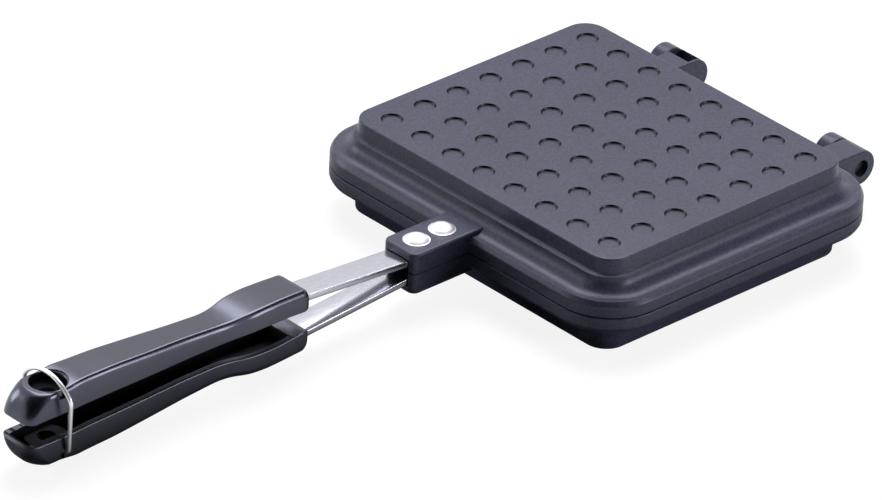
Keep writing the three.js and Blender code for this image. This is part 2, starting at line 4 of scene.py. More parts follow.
import bmesh
import bpy
import numpy as np
from mathutils import Euler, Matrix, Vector


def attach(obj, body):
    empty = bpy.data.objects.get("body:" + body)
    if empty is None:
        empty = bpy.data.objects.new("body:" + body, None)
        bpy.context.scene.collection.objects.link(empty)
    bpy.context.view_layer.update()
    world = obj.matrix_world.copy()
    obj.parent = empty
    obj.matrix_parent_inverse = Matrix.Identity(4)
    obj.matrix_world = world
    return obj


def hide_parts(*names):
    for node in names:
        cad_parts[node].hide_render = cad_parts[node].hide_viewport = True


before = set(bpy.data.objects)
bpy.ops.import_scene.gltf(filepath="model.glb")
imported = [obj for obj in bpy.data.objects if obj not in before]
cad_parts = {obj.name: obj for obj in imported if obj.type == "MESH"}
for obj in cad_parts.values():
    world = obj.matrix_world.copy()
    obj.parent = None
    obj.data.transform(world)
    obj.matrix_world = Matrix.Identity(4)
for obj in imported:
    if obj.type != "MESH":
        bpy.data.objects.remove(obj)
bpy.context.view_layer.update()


# Pan halves
# Two die-cast aluminium dishes that close on each other, sprayed inside and out with a dark
# non-stick coating that is baked on. The outside has a raised dimpled flat and a stepped rim.

# Lengths are in mm. One half stands on the parting plane, in the middle between the halves.
MM = 0.001
HALF_HEIGHT = 17.5
PARTING = 0.15
FLAT = np.array([112.8, 129.0])
FLAT_CORNER = 8.3
RIM_REACH = 10.5
RIM_CORNER = 21.0
CAVITY_CORNER = 4.0
STRAIGHT_SHARE = 0.25
POINTS_PER_CELL = 8

DIMPLE_PITCH = 15.4
DIMPLE_COUNTS = (7, 8)
DIMPLE_DEPTH = 0.8
DIMPLE_RADIUS = 3.9
DIMPLE_FLOOR_RADIUS = 3.55
DIMPLE_RING_RADIUS = 4.6
CORNER_DRAW_IN = 1.6

# The dish in profile, as (reach beyond the flat, height).
RIM_LINE = [(9.0, PARTING), (10.5, PARTING), (10.5, 4.3), (9.3, 6.1), (8.6, 5.9)]
COVE_EDGE = 8.1
COVE_TOP = 11.4
COVE_WIDTH = 6.0
COVE_HEIGHT = 5.5
LEDGE_LINE = [(2.1, 11.0), (2.1, 11.4), (0.5, 12.0), (0.0, 17.5), (-1.6, 17.5)]
CAVITY_LINE = [
    (9.0, PARTING), (5.4, PARTING), (5.2, 0.75), (1.2, 4.3), (-3.0, 7.3), (-3.5, 14.1), (-8.0, 14.1),
]


def soften(points, radii, steps=5):
    """A polyline whose corners are replaced by curves. Each corner P starts its curve at A, a radius
    before it, and ends it at B, a radius after it: (1-t)^2 A + 2t(1-t) P + t^2 B."""
    points = np.asarray(points, float)
    radii = np.asarray(radii, float)[..., None]
    corner = points[..., 1:-1, :]
    before = points[..., :-2, :] - corner
    after = points[..., 2:, :] - corner
    start = corner + before / np.linalg.norm(before, axis=-1, keepdims=True) * radii
    end = corner + after / np.linalg.norm(after, axis=-1, keepdims=True) * radii
    t = np.linspace(0, 1, steps)[:, None]
    start, corner, end = (p[..., None, :] for p in (start, corner, end))
    curves = (1 - t) ** 2 * start + 2 * t * (1 - t) * corner + t ** 2 * end
    curves = curves.reshape(*points.shape[:-2], -1, points.shape[-1])
    return np.concatenate([points[..., :1, :], curves, points[..., -1:, :]], axis=-2)


def grid_quads(rows, columns, closed):
    """The quads between the neighbours of a grid of points; closed joins the last column to the first."""
    r, c = np.meshgrid(np.arange(rows - 1), np.arange(columns if closed else columns - 1), indexing="ij")
    n = (c + 1) % columns
    return np.stack([r * columns + c, r * columns + n, (r + 1) * columns + n, (r + 1) * columns + c], -1)


def make_mesh(name, sheets=(), loops=(), closed=True, sharp=35.0):
    """A mesh in metres from sheets, which are grids of points in mm, and loops, each closed by one
    face. Points that meet are merged and the faces turned outwards."""
    points, faces, first = [], [], 0
    for sheet in sheets:
        rows, columns = sheet.shape[:2]
        points.append(sheet.reshape(-1, 3))
        faces += (grid_quads(rows, columns, closed).reshape(-1, 4) + first).tolist()
        first += rows * columns
    for loop in loops:
        points.append(loop)
        faces.append(list(range(first, first + len(loop))))
        first += len(loop)
    mesh = bpy.data.meshes.new(name)
    mesh.from_pydata((np.concatenate(points) * MM).tolist(), [], faces)
    tidy_mesh(mesh, sharp)
    return mesh


def tidy_mesh(mesh, sharp):
    """Merges points that meet, turns the faces outwards and shades them smooth up to a sharp edge."""
    work = bmesh.new()
    work.from_mesh(mesh)
    bmesh.ops.remove_doubles(work, verts=work.verts, dist=2e-6)
    bmesh.ops.dissolve_degenerate(work, edges=work.edges, dist=1e-7)
    bmesh.ops.recalc_face_normals(work, faces=work.faces)
    work.to_mesh(mesh)
    work.free()
    mesh.polygons.foreach_set("use_smooth", np.ones(len(mesh.polygons), bool))
    mesh.set_sharp_from_angle(angle=np.radians(sharp))
    mesh.update()


def add_piece(name, mesh, body, slot, *nodes):
    """A new object in the row frame that rides on a body and stands for those CAD nodes."""
    piece = bpy.data.objects.new(name, mesh)
    bpy.context.scene.collection.objects.link(piece)
    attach(piece, body)
    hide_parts(*nodes)
    return piece


def boolean(mesh, other, operation):
    """The mesh joined with another, or cut by it."""
    objects = [bpy.data.objects.new("work", m) for m in (mesh, other)]
    for o in objects:
        bpy.context.scene.collection.objects.link(o)
    modifier = objects[0].modifiers.new("cut", "BOOLEAN")
    modifier.operation = operation
    modifier.solver = "MANIFOLD"
    modifier.object = objects[1]
    evaluated = objects[0].evaluated_get(bpy.context.evaluated_depsgraph_get())
    result = bpy.data.meshes.new_from_object(evaluated)
    result.materials.clear()
    for o in objects:
        bpy.data.objects.remove(o)
    return result


def cell_offsets():
    """Places along one edge of a dimple's square cell, where rays from its centre every 11.25
    degrees meet the edge: tan(angle) times half the pitch."""
    step = 90 / POINTS_PER_CELL
    return np.tan(np.radians(np.arange(-45, 45, step))) * DIMPLE_PITCH / 2


def pan_side(cells, straight, corner):
    """One side of a rounded rectangle, from the middle of one corner to the next: places along it and
    how far they stand back. All but the end cells keep the cells' places; the end cells' points
    share the straight rest and the arc: s + c sin(a) along, c (1 - cos(a)) back."""
    centres = (np.arange(cells) - (cells - 1) / 2) * DIMPLE_PITCH
    along = (centres[:, None] + cell_offsets()).ravel()
    index = np.arange(len(along))
    k = np.maximum(np.maximum(POINTS_PER_CELL - index, index - (len(along) - POINTS_PER_CELL)), 0)
    t = k / POINTS_PER_CELL
    sign = np.where(index < len(along) / 2, -1, 1)
    start = (cells / 2 - 1) * DIMPLE_PITCH
    run = np.clip(t / STRAIGHT_SHARE, 0, 1)
    arc = np.clip((t - STRAIGHT_SHARE) / (1 - STRAIGHT_SHARE), 0, 1) * np.pi / 4
    straight, corner = straight[:, None], corner[:, None]
    bent = sign * (start + (straight - start) * run + corner * np.sin(arc))
    return np.where(k > 0, bent, along), corner * (1 - np.cos(arc))


def four_sides(x, y, edge_x, edge_y):
    """The four sides of a rectangle in turn: right, far, left and near, as points in plan."""
    sides = [(edge_x, y), (-x, edge_y), (-edge_x, -y), (x, -edge_y)]
    return np.concatenate([np.stack(side, -1) for side in sides], axis=-2)


def at_height(plan, height):
    """Rings of points in plan, each lifted to its own height."""
    levels = np.broadcast_to(np.asarray(height, float)[:, None, None], plan.shape[:2] + (1,))
    return np.concatenate([plan, levels], -1)


def pan_rings(profile):
    """Rings round the pan for a profile of (reach, height): rounded rectangles as much larger than
    the flat as their reach, with corners that open up towards the rim."""
    reach, height = np.asarray(profile, float).T
    half = FLAT / 2 + reach[:, None]
    corner = np.maximum(FLAT_CORNER + (RIM_CORNER - FLAT_CORNER) * reach / RIM_REACH, CAVITY_CORNER)
    y, back_x = pan_side(DIMPLE_COUNTS[1], half[:, 1] - corner, corner)
    x, back_y = pan_side(DIMPLE_COUNTS[0], half[:, 0] - corner, corner)
    return at_height(four_sides(x, y, half[:, :1] - back_x, half[:, 1:] - back_y), height)


def dimple_sheets():
    """One sheet for each dimple's cell: circles (r cos a, r sin a, z) down the dimple's side to its
    floor, and the square of the cell as the last ring."""
    floor = HALF_HEIGHT - DIMPLE_DEPTH
    rim = [(DIMPLE_RADIUS, HALF_HEIGHT), (DIMPLE_RING_RADIUS, HALF_HEIGHT)]
    profile = soften([(0.0, floor), (DIMPLE_FLOOR_RADIUS, floor), *rim], [0.2, 0.15], 4)
    angle = np.radians(np.arange(-45, 315, 90 / POINTS_PER_CELL))
    turn = np.stack([np.cos(angle), np.sin(angle)], -1)
    circles = profile[:, :1, None] * turn[None]
    square = turn / np.abs(turn).max(1, keepdims=True) * DIMPLE_PITCH / 2
    cell = at_height(np.concatenate([circles, square[None]]), np.append(profile[:, 1], HALF_HEIGHT))
    columns, rows = ((np.arange(n) - (n - 1) / 2) * DIMPLE_PITCH for n in DIMPLE_COUNTS)
    return [draw_in_corners(cell + np.array([x, y, 0])) for x in columns for y in rows]


def draw_in_corners(points):
    """The four outermost corner points of the cells, moved 1.6 mm in both ways to leave room for the
    flat's rounded corners; the other points stay."""
    half = np.array(DIMPLE_COUNTS) * DIMPLE_PITCH / 2
    plan = points[..., :2]
    outermost = (np.abs(plan) > half - 0.01).all(-1, keepdims=True)
    drawn_in = plan - np.where(outermost, np.sign(plan) * CORNER_DRAW_IN, 0)
    return np.concatenate([drawn_in, points[..., 2:]], -1)


def cell_border():
    """The outline of all the cells together, point for point as in pan_rings."""
    half = np.array(DIMPLE_COUNTS) * DIMPLE_PITCH / 2
    x, y = (
        ((np.arange(n) - (n - 1) / 2)[:, None] * DIMPLE_PITCH + cell_offsets()).ravel() for n in DIMPLE_COUNTS
    )
    plan = four_sides(x, y, np.full_like(y, half[0]), np.full_like(x, half[1]))
    return draw_in_corners(np.column_stack([plan, np.full(len(plan), HALF_HEIGHT)]))


def cove(steps=14):
    """The hollow between the wall's foot and the lip: a quarter ellipse from level at the lip to
    upright at the ledge, (8.1 - 6 sin a, 11.4 - 5.5 cos a)."""
    a = np.linspace(0, np.pi / 2, steps)
    return np.stack([COVE_EDGE - COVE_WIDTH * np.sin(a), COVE_TOP - COVE_HEIGHT * np.cos(a)], -1)


def pan_dish():
    """The closed shell of one half without its boss and knuckles, above the parting plane."""
    rim = soften(RIM_LINE, [0.5, 0.45, 0.3], 6)
    ledge = soften(LEDGE_LINE, [0.25, 0.2, 0.6], 6)
    outer_rings = pan_rings(np.concatenate([rim, cove()[:-1], ledge[1:]]))
    inner_rings = pan_rings(soften(CAVITY_LINE, [0.25, 0.4, 1.5, 1.5, 1.7], 6))
    margin = np.stack([outer_rings[-1], cell_border()])
    return make_mesh("pan", [outer_rings, margin, inner_rings, *dimple_sheets()], [inner_rings[-1]])


BOSS_END = -92.1
BOSS_ROOT = -57.9
BOSS_WIDTH = 16.3
BOSS_HEIGHT = 7.7
BOSS_CORNER = 3.0
BOSS_EDGE_LINE = [(0.6, PARTING), (0, PARTING), (0, BOSS_HEIGHT), (1.6, BOSS_HEIGHT)]


def rounded_outline(low, high, corner, steps=7):
    """A rounded rectangle from its low to its high corner: arcs of the corner's radius, centred a
    radius inside each corner."""
    angle = np.radians(np.linspace(0, 90, steps)[None] + np.array([0, 90, 180, 270])[:, None])
    ends = np.array([[high[0], high[1]], [low[0], high[1]], [low[0], low[1]], [high[0], low[1]]])
    middle = ends + np.array([[-1, -1], [1, -1], [1, 1], [-1, 1]]) * corner
    arcs = middle[:, None] + corner * np.stack([np.cos(angle), np.sin(angle)], -1)
    return arcs.reshape(-1, 2)


def boss_block():
    """The block on the rim that holds the strap: one rounded outline, drawn in along its top edge by
    a quarter round."""
    rings = []
    for inset, height in soften(BOSS_EDGE_LINE, [0.3, 1.1], 7):
        low = (BOSS_END + inset, -BOSS_WIDTH / 2 + inset)
        high = (BOSS_ROOT - inset, BOSS_WIDTH / 2 - inset)
        plan = rounded_outline(low, high, BOSS_CORNER - inset)
        rings.append(np.column_stack([plan, np.full(len(plan), height)]))
    return make_mesh("boss", [np.array(rings)], [rings[0], rings[-1]])


STRAP_START = -69.1
STRAP_TAIL = -144.6
STRAP_START_HEIGHT = 2.9
STRAP_SLOPE = np.tan(np.radians(4.37))
STRAP_WIDTH = 10.3
STRAP_THICKNESS = 2.4
STRAP_GAP = 0.3
BOSS_SLOT_ENDS = (-68.8, -95.0)
# How far cutters reach past what they cut: slots and hollows, and bores and notches.
OVERRUN = 3.0
SHORT_OVERRUN = 1.0
BELOW = -OVERRUN


def strap_top(x):
    """Height of a strap's outer face, which rises evenly from the boss to the grip."""
    return STRAP_START_HEIGHT + (STRAP_START - np.asarray(x, float)) * STRAP_SLOPE


def plate_across(outline, low_y, high_y, round_off=0.0, steps=4):
    """An outline in X and Z carried across Y; its two edges are drawn in towards its middle line by
    a quarter round of that size, by moving each point along its inward normal."""
    outline = np.asarray(outline, float)
    along = np.roll(outline, -1, 0) - np.roll(outline, 1, 0)
    normal = np.stack([-along[:, 1], along[:, 0]], -1)
    normal /= np.maximum(np.linalg.norm(normal, axis=1, keepdims=True), 1e-9)
    a = np.linspace(0, np.pi / 2, steps) if round_off else np.zeros(1)
    inset = round_off * (1 - np.sin(a))
    back = round_off * (1 - np.cos(a))
    insets = np.concatenate([inset, inset[::-1]])
    places = np.concatenate([low_y + back, (high_y - back)[::-1]])
    rings = outline[None] + insets[:, None, None] * normal[None]
    y = np.broadcast_to(places[:, None, None], rings.shape[:2] + (1,))
    sheet = np.concatenate([rings[..., :1], y, rings[..., 1:]], -1)
    return make_mesh("plate", [sheet], [sheet[0], sheet[-1]])


HINGE_X = 78.8
BARREL_RADIUS = 6.5
LONG_KNUCKLE = 11.2
SHORT_KNUCKLE = 6.0
KNUCKLE_GAP = 0.4
KNUCKLE_ROUND = 0.6
WEB_LINE = [(62.0, 6.9), (58.9, 6.9), (58.9, PARTING)]
HINGE_CENTRES = (41.2, -41.2)
HINGE_LENGTH = LONG_KNUCKLE + KNUCKLE_GAP + SHORT_KNUCKLE
LOOSE_BORE = 3.15
TIGHT_BORE = 3.05
HOOK_WALL = 1.2
HOOK_SLOT_TURN = np.radians(85)
HOOK_SLOT_WIDTH = 6.4
HOOK_SLOT_LENGTH = 9.5


def knuckle(low_y, high_y):
    """A hinge knuckle and its web: a circle round the pin's axis, from just past its far side, that
    runs out into the rim."""
    a = np.linspace(np.pi + 0.03, 2.5 * np.pi, 46)
    barrel = np.stack([HINGE_X + BARREL_RADIUS * np.cos(a), BARREL_RADIUS * np.sin(a)], -1)
    return plate_across(np.concatenate([barrel, WEB_LINE]), low_y, high_y, KNUCKLE_ROUND)


def rod_across(radius, low_y, high_y, x, z, steps=40):
    """A round cutter along Y."""
    a = np.linspace(0, 2 * np.pi, steps, endpoint=False)
    outline = np.stack([x + radius * np.cos(a), z + radius * np.sin(a)], -1)
    return plate_across(outline, low_y, high_y)


def hook_slot(low_y, high_y):
    """The cutter that opens a knuckle into a hook: a band from the pin's axis outwards."""
    out = np.array([np.cos(HOOK_SLOT_TURN), np.sin(HOOK_SLOT_TURN)])
    side = np.array([-out[1], out[0]]) * HOOK_SLOT_WIDTH / 2
    middle = np.array([HINGE_X, 0])
    end = middle + out * HOOK_SLOT_LENGTH
    return plate_across([middle - side, end - side, end + side, middle + side], low_y, high_y)


def pan_half(is_upper):
    """One whole half above the parting plane: dish, boss and knuckles joined, then the strap's slot,
    the bores and the hook's slot cut."""
    mesh = boolean(pan_dish(), boss_block(), "UNION")
    for centre in HINGE_CENTRES:
        near, far = centre - HINGE_LENGTH / 2, centre + HINGE_LENGTH / 2
        split = near + LONG_KNUCKLE
        ends = (near, split) if is_upper else (split + KNUCKLE_GAP, far)
        mesh = boolean(mesh, knuckle(*ends), "UNION")
        is_hook = is_upper and centre > 0
        radius = LOOSE_BORE if is_upper else TIGHT_BORE
        start = near + HOOK_WALL if is_hook else ends[0] - SHORT_OVERRUN
        mesh = boolean(mesh, rod_across(radius, start, ends[1] + SHORT_OVERRUN, HINGE_X, 0), "DIFFERENCE")
        if is_hook:
            mesh = boolean(mesh, hook_slot(near + HOOK_WALL, split + KNUCKLE_GAP / 2), "DIFFERENCE")
    inner, outer = BOSS_SLOT_ENDS
    inner_top, outer_top = strap_top(BOSS_SLOT_ENDS) + STRAP_GAP
    slot = [(inner, BELOW), (inner, inner_top), (outer, outer_top), (outer, BELOW)]
    half = STRAP_WIDTH / 2 + STRAP_GAP
    return boolean(mesh, plate_across(slot, -half, half), "DIFFERENCE")


def stand(mesh, is_upper, sharp=35.0):
    """Lifts a mesh from the parting plane to its place; the lower half is the same turned over."""
    points = np.empty(len(mesh.vertices) * 3)
    mesh.vertices.foreach_get("co", points)
    points = points.reshape(-1, 3)
    points[:, 2] = HALF_HEIGHT * MM + points[:, 2] * (1 if is_upper else -1)
    mesh.vertices.foreach_set("co", points.ravel())
    tidy_mesh(mesh, sharp)
    return mesh


def linear(hex_colour):
    """An sRGB hex colour as the linear RGBA that the shader reads."""
    value = np.array([int(hex_colour[i:i + 2], 16) for i in (1, 3, 5)]) / 255
    value = np.where(value <= 0.04045, value / 12.92, ((value + 0.055) / 1.055) ** 2.4)
    return (*value.tolist(), 1.0)


def add_node(tree, kind, settings=None, inputs=None):
    """Adds a node with its settings; each input is a value or another node's output."""
    made = tree.nodes.new(kind)
    for key, value in (settings or {}).items():
        setattr(made, key, value)
    for key, value in (inputs or {}).items():
        if isinstance(value, bpy.types.NodeSocket):
            tree.links.new(value, made.inputs[key])
        else:
            made.inputs[key].default_value = value
    return made


def new_material(name):
    """An empty node material with a Principled shader on its output."""
    material = bpy.data.materials.new(name)
    material.use_nodes = True
    tree = material.node_tree
    tree.nodes.clear()
    shader = add_node(tree, "ShaderNodeBsdfPrincipled")
    out = add_node(tree, "ShaderNodeOutputMaterial")
    tree.links.new(shader.outputs[0], out.inputs[0])
    return material, tree, shader


def ramp(tree, fac, stops):
    """A colour ramp with its stops as (place, colour)."""
    made = add_node(tree, "ShaderNodeValToRGB", inputs={"Fac": fac})
    band = made.color_ramp
    while len(band.elements) < len(stops):
        band.elements.new(0.5)
    for element, (place, colour) in zip(band.elements, stops):
        element.position = place
        element.color = colour
    return made


def noise(tree, place, size, detail):
    """Noise with features of a size in mm, as a node output."""
    inputs = {"Vector": place, "Scale": 1 / (size * MM), "Detail": detail}
    return add_node(tree, "ShaderNodeTexNoise", inputs=inputs).outputs["Fac"]


def spread(tree, pattern, low, high):
    """A pattern of 0 to 1 spread over a range, as a node output."""
    return add_node(
        tree, "ShaderNodeMapRange", inputs={"Value": pattern, "To Min": low, "To Max": high}
    ).outputs[0]


def calculate(tree, operation, *values):
    """One operation on numbers, each a value or a node output, as a node output."""
    return add_node(tree, "ShaderNodeMath", {"operation": operation}, dict(enumerate(values))).outputs[0]


def calculate_vector(tree, operation, *values, output=0):
    """One operation on vectors, as the node's output of that name or number."""
    made = add_node(tree, "ShaderNodeVectorMath", {"operation": operation}, dict(enumerate(values)))
    return made.outputs[output]


def dimple_wall_shade(tree, place):
    """Mask of the painted shade in the dimples: 1 on their walls and round the edge of their floors and
    0 elsewhere, as a node output: 2.95 to 3.94 mm from the middle of a cell, at heights between floor and
                                   face."""
    pitch = DIMPLE_PITCH * MM
    cell = calculate_vector(tree, "WRAP", place, (pitch / 2, pitch, 1), (-pitch / 2, 0, -1))
    centred = calculate_vector(tree, "SUBTRACT", cell, (0, pitch / 2, 0))
    plan = calculate_vector(tree, "MULTIPLY", centred, (1, 1, 0))
    radius = calculate_vector(tree, "LENGTH", plan, output="Value")
    level = add_node(tree, "ShaderNodeSeparateXYZ", inputs={0: place}).outputs["Z"]
    height = calculate(tree, "ABSOLUTE", calculate(tree, "SUBTRACT", level, HALF_HEIGHT * MM))
    # each limit as (measure, where the mask is 0, where it is 1)
    limits = ((radius, 2.95, 3.1), (radius, 3.94, 3.84), (height, 16.6, 16.65), (height, 17.5, 17.46))
    mask = 1.0
    for value, none, full in limits:
        ends = {"From Min": none * MM, "From Max": full * MM}
        inside = add_node(tree, "ShaderNodeMapRange", inputs={"Value": value, **ends})
        mask = calculate(tree, "MULTIPLY", inside.outputs[0], mask)
    return mask


def bump_up(tree, shader, pattern, strength, depth):
    """Gives a shader the relief of a pattern, with its depth in mm."""
    inputs = {"Strength": strength, "Distance": depth * MM, "Height": pattern}
    bump = add_node(tree, "ShaderNodeBump", inputs=inputs)
    tree.links.new(bump.outputs[0], shader.inputs["Normal"])


def baked_coating():
    """PTFE non-stick coating, sprayed in thin coats and baked: an even dark grey with a satin sheen and
    a fine orange-peel about 1.1 mm across. The walls of the dimples are painted near black as shade."""
    material, tree, shader = new_material("baked_non_stick_coating")
    place = add_node(tree, "ShaderNodeTexCoord").outputs["Object"]
    peel = noise(tree, place, 1.1, 3.0)
    cloud = noise(tree, place, 35, 4.0)
    tone = ramp(tree, cloud, [(0.3, linear("#3f4255")), (0.7, linear("#45485c"))])
    speck = ramp(tree, peel, [(0.38, (0.79, 0.79, 0.79, 1)), (0.62, (1.16, 1.16, 1.16, 1))])
    mixed = add_node(tree, "ShaderNodeMix", {"data_type": "RGBA", "blend_type": "MULTIPLY"}, {0: 1.0})
    tree.links.new(tone.outputs[0], mixed.inputs[6])
    tree.links.new(speck.outputs[0], mixed.inputs[7])
    # Painted shade: the dimples' walls and the edges of their floors turn near black.
    walls = dimple_wall_shade(tree, place)
    shaded_tone = add_node(tree, "ShaderNodeMix", {"data_type": "RGBA"}, {0: walls, 7: linear("#0a0c1a")})
    tree.links.new(mixed.outputs[2], shaded_tone.inputs[6])
    tree.links.new(shaded_tone.outputs[2], shader.inputs["Base Color"])
    tree.links.new(spread(tree, peel, 0.29, 0.38), shader.inputs["Roughness"])
    bump_up(tree, shader, peel, 0.45, 0.06)
    shader.inputs["IOR"].default_value = 1.42
    shader.inputs["Specular IOR Level"].default_value = 0.4
    shader.inputs["Specular Tint"].default_value = (0.88, 0.9, 1.0, 1.0)
    return material


def even_out(piece):
    """Shades the large faces of a piece flat up to its rounded edges."""
    weighted = piece.modifiers.new("even faces", "WEIGHTED_NORMAL")
    weighted.keep_sharp = True


coating = baked_coating()
for node, body, is_upper in (("lower_pan", "base", False), ("upper_pan", "lid", True)):
    casting = add_piece(node + "_casting", stand(pan_half(is_upper), is_upper), body, "coated_casting", node)
    casting.data.materials.append(coating)
    even_out(casting)


# Hinge pins
# Two short steel pins, turned with a rounded edge at each end and pressed into the lower half's
# short knuckles. The upper half turns on them and slides off sideways.

PIN_RADIUS = 2.9
PIN_FAR_RECESS = 0.15
# node, middle of its hinge, how far it starts within the long knuckle's outer face
PINS = (("hinge_pin_left", HINGE_CENTRES[0], 1.35), ("hinge_pin_right", HINGE_CENTRES[1], 1.7))


def turned(profile, axis, centre, is_upper=True, steps=48):
    """A shape turned on a lathe from a profile of (radius, place along the axis): each profile point
    runs round the axis as (r cos a, r sin a)."""
    radius, place = np.asarray(profile, float).T
    a = np.linspace(0, 2 * np.pi, steps, endpoint=False)
    first, second = radius[:, None] * np.cos(a), radius[:, None] * np.sin(a)
    third = np.broadcast_to(place[:, None], first.shape)
    order = {"y": (second, third, first), "z": (first, second, third)}[axis]
    sheet = np.stack(order, -1) + np.asarray(centre, float)
    return stand(make_mesh("turned", [sheet]), is_upper, sharp=30.0)


def bare_metal(tree, shader, tone, pattern, smooth, rough):
    """Gives a shader bare metal of a tone, with a roughness that follows a pattern."""
    tree.links.new(tone.outputs[0], shader.inputs["Base Color"])
    tree.links.new(spread(tree, pattern, smooth, rough), shader.inputs["Roughness"])
    shader.inputs["Metallic"].default_value = 1.0


def turned_steel():
    """Steel turned on a lathe and left dark with oil: fine rings 0.94 mm apart along each piece, and
    wear in patches 2.5 mm across."""
    material, tree, shader = new_material("turned_steel")
    place = add_node(tree, "ShaderNodeTexCoord").outputs["Object"]
    wear = noise(tree, place, 2.5, 4.0)
    tone = ramp(tree, wear, [(0.3, linear("#303136")), (0.75, linear("#46474d"))])
    rings = add_node(
        tree, "ShaderNodeTexWave", {"bands_direction": "Y"}, {"Vector": place, "Scale": 1 / (3.0 * MM)}
    )
    bare_metal(tree, shader, tone, rings.outputs["Fac"], 0.3, 0.42)
    return material


pin_steel = turned_steel()
for node, centre, near_recess in PINS:
    near = centre - HINGE_LENGTH / 2 + near_recess
    far = centre + HINGE_LENGTH / 2 - PIN_FAR_RECESS
    profile = soften([(0, near), (PIN_RADIUS, near), (PIN_RADIUS, far), (0, far)], [0.5, 0.5], 4)
    pin = add_piece(node + "_turned", turned(profile, "y", (HINGE_X, 0, 0)), "base", "pin_steel", node)
    pin.data.materials.append(pin_steel)


# Straps
# Each half's handle is a flat bar of stainless steel, sheared from rolled strip. One end lies in the
# boss's slot under the rivets, and the grip is moulded round the other.

STRAP_EDGE_ROUND = 0.35


def strap_bar():
    """A bar with a rounded rectangular section, carried along X at the height of strap_top."""
    x = np.linspace(STRAP_START, STRAP_TAIL, 24)
    half = STRAP_WIDTH / 2
    section = rounded_outline((-half, -STRAP_THICKNESS), (half, 0), STRAP_EDGE_ROUND, 5)
    y = np.broadcast_to(section[None, :, 0], (len(x), len(section)))
    z = strap_top(x)[:, None] + section[None, :, 1]
    sheet = np.stack([np.broadcast_to(x[:, None], y.shape), y, z], -1)
    return make_mesh("strap", [sheet], [sheet[0], sheet[-1]], sharp=40)


def rolled_steel():
    """Stainless strip, cold rolled and lightly polished: almost a mirror, with fine rolling lines
    along the bar, 0.3 mm apart."""
    material, tree, shader = new_material("rolled_stainless_steel")
    place = add_node(tree, "ShaderNodeTexCoord").outputs["Object"]
    stretched = add_node(tree, "ShaderNodeMapping", inputs={"Vector": place, "Scale": (0.02, 1.0, 1.0)})
    lines = noise(tree, stretched.outputs[0], 0.3, 3.0)
    tone = ramp(tree, lines, [(0.3, linear("#bebec8")), (0.7, linear("#cacad4"))])
    bare_metal(tree, shader, tone, lines, 0.12, 0.22)
    return material


steel = rolled_steel()
for node, body, is_upper in (("lower_strap", "base", False), ("upper_strap", "lid", True)):
    bar = add_piece(node + "_bar", stand(strap_bar(), is_upper, sharp=40.0), body, "strap_steel", node)
    bar.data.materials.append(steel)


# Rivets
# Two solid aluminium rivets through each boss and strap, set with a wide domed head outside.

RIVET_PLACES = {"outer": -83.8, "inner": -72.2}
RIVET_SHANK_RADIUS = 2.3
RIVET_HEAD_HEIGHT = 2.1
RIVET_DOME_RADIUS = 6.5
RIVET_DOME_FOOT = 4.55
RIVET_RIM_LINE = [(4.6, BOSS_HEIGHT), (4.75, BOSS_HEIGHT + 0.18)]
RIVET_FOOT_LIFT = 0.15


def rivet_profile(x):
    """A shank that ends in the strap, a thin upright rim and a low dome, which is part of a circle of
    6.5 mm radius: (r sin a, top - r + r cos a)."""
    a = np.linspace(1, 0, 12) * np.arcsin(RIVET_DOME_FOOT / RIVET_DOME_RADIUS)
    middle = BOSS_HEIGHT + RIVET_HEAD_HEIGHT - RIVET_DOME_RADIUS
    dome = np.stack([RIVET_DOME_RADIUS * np.sin(a), middle + RIVET_DOME_RADIUS * np.cos(a)], -1)
    dome[-1, 0] = 0
    foot = float(strap_top(x + RIVET_SHANK_RADIUS)) - STRAP_THICKNESS + RIVET_FOOT_LIFT
    shank = [(0, foot), (RIVET_SHANK_RADIUS, foot), (RIVET_SHANK_RADIUS, BOSS_HEIGHT)]
    return np.concatenate([shank, RIVET_RIM_LINE, dome])


def set_aluminium():
    """Soft aluminium, upset cold by a rivet set: bright and a little rough, with fine marks of the
    tool, 0.5 mm across."""
    material, tree, shader = new_material("set_aluminium")
    place = add_node(tree, "ShaderNodeTexCoord").outputs["Object"]
    marks = noise(tree, place, 0.5, 3.0)
    tone = ramp(tree, marks, [(0.3, linear("#e4e4ea")), (0.7, linear("#f2f2f6"))])
    bare_metal(tree, shader, tone, marks, 0.42, 0.54)
    return material


rivet_metal = set_aluminium()
for half, body, is_upper in (("lower", "base", False), ("upper", "lid", True)):
    for name, x in RIVET_PLACES.items():
        node = f"{half}_rivet_{name}"
        mesh = turned(rivet_profile(x), "z", (x, 0, 0), is_upper)
        rivet = add_piece(node + "_head", mesh, body, "rivet_metal", node)
        rivet.data.materials.append(rivet_metal)


# Grips
# Hollow mouldings in black phenolic resin, pressed glossy, one over each strap. The tail has a
# funnel-shaped hanging hole and a notch on each side for the latch.

GRIP_FRONT = -138.3
GRIP_END = -261.3
GRIP_LINE = np.array([
    # place behind the front, half width, top, inner edge, edge share
    [0.0, 7.6, 11.7, 3.6, 1.0], [11.3, 7.9, 12.21, 4.535, 1.0], [19.1, 8.2, 12.3, 4.7, 1.0],
    [26.7, 8.0, 11.9, 4.5, 1.0], [32.2, 6.9, 10.908, 4.1, 1.0], [38.4, 6.2, 10.7, 3.7, 1.0],
    [53.8, 6.2, 11.81, 3.7, 1.0], [69.2, 6.794, 12.809, 3.903, 0.928], [84.9, 7.207, 13.882, 4.197, 0.878],
    [99.9, 7.504, 14.215, 4.302, 0.842], [101.0, 7.85, 14.4, 4.4, 0.8], [106.8, 7.85, 13.4, 4.4, 0.8],
    [126.0, 7.85, 13.4, 4.4, 0.8],
])
